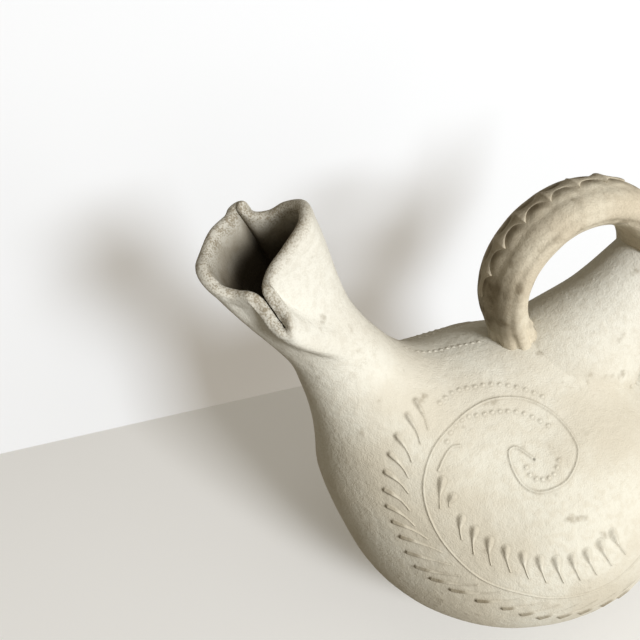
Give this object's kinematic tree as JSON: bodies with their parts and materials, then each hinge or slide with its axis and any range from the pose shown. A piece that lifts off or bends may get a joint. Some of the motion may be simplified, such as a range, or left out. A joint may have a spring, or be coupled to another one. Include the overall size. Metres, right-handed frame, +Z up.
{
  "type": "hen-shaped pitcher",
  "caption": "Unglazed clay pitcher shaped as a hen: round hollow body, leaning neck with a pinched pouring spout, looped back handle and raised tail.",
  "frame": {"origin": "on the floor, at the middle of the flat foot, below the middle of the belly", "axes": "+Z up, -X the way the hen faces and pours, Y across"},
  "size_m": [0.2477, 0.1594, 0.2443],
  "materials": {
    "clay": "unglazed fired clay, cream-white, matte and slightly gritty",
    "stained_clay": "unglazed fired clay with brown handling stains"
  },
  "bodies": {
    "root": {"bowl": "clay", "shoulder": "clay", "spout": "clay", "tail": "clay", "handle": "stained_clay", "handle_crest": "stained_clay"}
  },
  "joints": []
}
